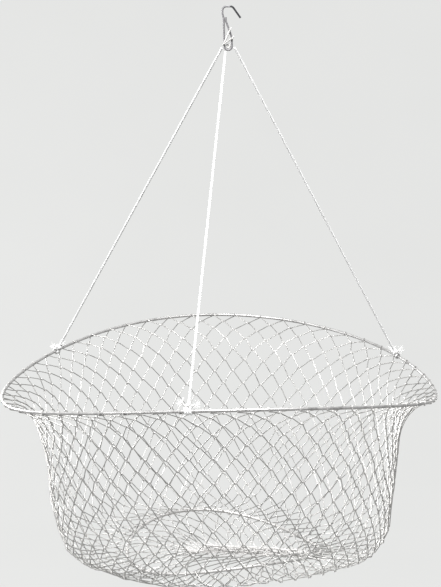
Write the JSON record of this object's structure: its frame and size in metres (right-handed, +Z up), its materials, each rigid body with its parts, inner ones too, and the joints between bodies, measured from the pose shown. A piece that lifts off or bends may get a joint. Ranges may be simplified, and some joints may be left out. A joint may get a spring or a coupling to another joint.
{
  "type": "folding crab trap",
  "caption": "Folding crab trap of flexible wire netting, hung from a wire hook by a cord bridle; its base slides up into the top ring to fold.",
  "frame": {"origin": "the point inside the top of the hook's bend that the trap hangs from, on the trap's upright axis", "axes": "+Z up along the upright axis, +X to the right in the plane of the hook's wire, -Y the front, where one bridle cord is tied"},
  "size_m": [0.5784, 0.6509, 0.7338],
  "materials": {
    "netting": "galvanised wire, dull grey",
    "rod": "galvanised rod, satin",
    "hook_wire": "plated spring wire, bright",
    "cord": "twisted white cord, matt"
  },
  "bodies": {
    "hook": {"hook": "hook_wire", "shank_lashing": "cord"},
    "lashing": {"eye_lashing": "cord"},
    "net_frame": {"top_ring": "rod", "side_course_01": "netting", "bridle_cord_front": "cord", "bridle_cord_left": "cord", "bridle_cord_right": "cord", "ring_knot_front": "cord", "ring_knot_left": "cord", "ring_knot_right": "cord"},
    "course_02": {"side_course_02": "netting"},
    "course_03": {"side_course_03": "netting"},
    "course_04": {"side_course_04": "netting"},
    "course_05": {"side_course_05": "netting"},
    "course_06": {"side_course_06": "netting"},
    "course_07": {"side_course_07": "netting"},
    "course_08": {"side_course_08": "netting"},
    "course_09": {"side_course_09": "netting"},
    "course_10": {"side_course_10": "netting"},
    "course_11": {"side_course_11": "netting"},
    "course_12": {"side_course_12": "netting"},
    "course_13": {"side_course_13": "netting"},
    "course_14": {"side_course_14": "netting"},
    "course_15": {"side_course_15": "netting"},
    "course_16": {"side_course_16": "netting"},
    "course_17": {"side_course_17": "netting"},
    "course_18": {"side_course_18": "netting"},
    "net_base": {"bottom_ring": "rod", "floor_course_19": "netting", "floor_course_20": "netting", "floor_course_21": "netting", "floor_course_22": "netting", "inner_course_01": "netting", "inner_course_02": "netting", "inner_course_03": "netting", "inner_course_04": "netting", "inner_course_05": "netting", "seam_wire": "netting"}
  },
  "joints": [
    {"name": "side_rock", "type": "hinge", "parent": "hook", "child": "lashing", "pos_m": [0.0004, 0, -0.0496], "axis": [0, 1, 0], "range_deg": [-20, 20]},
    {"name": "swing", "type": "hinge", "parent": "lashing", "child": "net_frame", "pos_m": [0.0004, 0, -0.0544], "axis": [1, 0, 0], "range_deg": [-75, 75]},
    {"name": "fold", "type": "slide", "parent": "net_frame", "child": "net_base", "axis": [0, 0, 1], "range_m": [0, 0.189]},
    {"name": "nest_02", "type": "slide", "parent": "net_frame", "child": "course_02", "axis": [0, 0, 1], "range_m": [0, 0.0105]},
    {"name": "nest_03", "type": "slide", "parent": "net_frame", "child": "course_03", "axis": [0, 0, 1], "range_m": [0, 0.021]},
    {"name": "nest_04", "type": "slide", "parent": "net_frame", "child": "course_04", "axis": [0, 0, 1], "range_m": [0, 0.0315]},
    {"name": "nest_05", "type": "slide", "parent": "net_frame", "child": "course_05", "axis": [0, 0, 1], "range_m": [0, 0.042]},
    {"name": "nest_06", "type": "slide", "parent": "net_frame", "child": "course_06", "axis": [0, 0, 1], "range_m": [0, 0.0525]},
    {"name": "nest_07", "type": "slide", "parent": "net_frame", "child": "course_07", "axis": [0, 0, 1], "range_m": [0, 0.063]},
    {"name": "nest_08", "type": "slide", "parent": "net_frame", "child": "course_08", "axis": [0, 0, 1], "range_m": [0, 0.0735]},
    {"name": "nest_09", "type": "slide", "parent": "net_frame", "child": "course_09", "axis": [0, 0, 1], "range_m": [0, 0.084]},
    {"name": "nest_10", "type": "slide", "parent": "net_frame", "child": "course_10", "axis": [0, 0, 1], "range_m": [0, 0.0945]},
    {"name": "nest_11", "type": "slide", "parent": "net_frame", "child": "course_11", "axis": [0, 0, 1], "range_m": [0, 0.105]},
    {"name": "nest_12", "type": "slide", "parent": "net_frame", "child": "course_12", "axis": [0, 0, 1], "range_m": [0, 0.1155]},
    {"name": "nest_13", "type": "slide", "parent": "net_frame", "child": "course_13", "axis": [0, 0, 1], "range_m": [0, 0.126]},
    {"name": "nest_14", "type": "slide", "parent": "net_frame", "child": "course_14", "axis": [0, 0, 1], "range_m": [0, 0.1365]},
    {"name": "nest_15", "type": "slide", "parent": "net_frame", "child": "course_15", "axis": [0, 0, 1], "range_m": [0, 0.147]},
    {"name": "nest_16", "type": "slide", "parent": "net_frame", "child": "course_16", "axis": [0, 0, 1], "range_m": [0, 0.1575]},
    {"name": "nest_17", "type": "slide", "parent": "net_frame", "child": "course_17", "axis": [0, 0, 1], "range_m": [0, 0.168]},
    {"name": "nest_18", "type": "slide", "parent": "net_frame", "child": "course_18", "axis": [0, 0, 1], "range_m": [0, 0.1785]}
  ],
  "couplings": [
    {"joint": "nest_02", "follows": "fold", "ratio": 0.055556},
    {"joint": "nest_03", "follows": "fold", "ratio": 0.11111},
    {"joint": "nest_04", "follows": "fold", "ratio": 0.16667},
    {"joint": "nest_05", "follows": "fold", "ratio": 0.22222},
    {"joint": "nest_06", "follows": "fold", "ratio": 0.27778},
    {"joint": "nest_07", "follows": "fold", "ratio": 0.33333},
    {"joint": "nest_08", "follows": "fold", "ratio": 0.38889},
    {"joint": "nest_09", "follows": "fold", "ratio": 0.44444},
    {"joint": "nest_10", "follows": "fold", "ratio": 0.5},
    {"joint": "nest_11", "follows": "fold", "ratio": 0.55556},
    {"joint": "nest_12", "follows": "fold", "ratio": 0.61111},
    {"joint": "nest_13", "follows": "fold", "ratio": 0.66667},
    {"joint": "nest_14", "follows": "fold", "ratio": 0.72222},
    {"joint": "nest_15", "follows": "fold", "ratio": 0.77778},
    {"joint": "nest_16", "follows": "fold", "ratio": 0.83333},
    {"joint": "nest_17", "follows": "fold", "ratio": 0.88889},
    {"joint": "nest_18", "follows": "fold", "ratio": 0.94444}
  ]
}
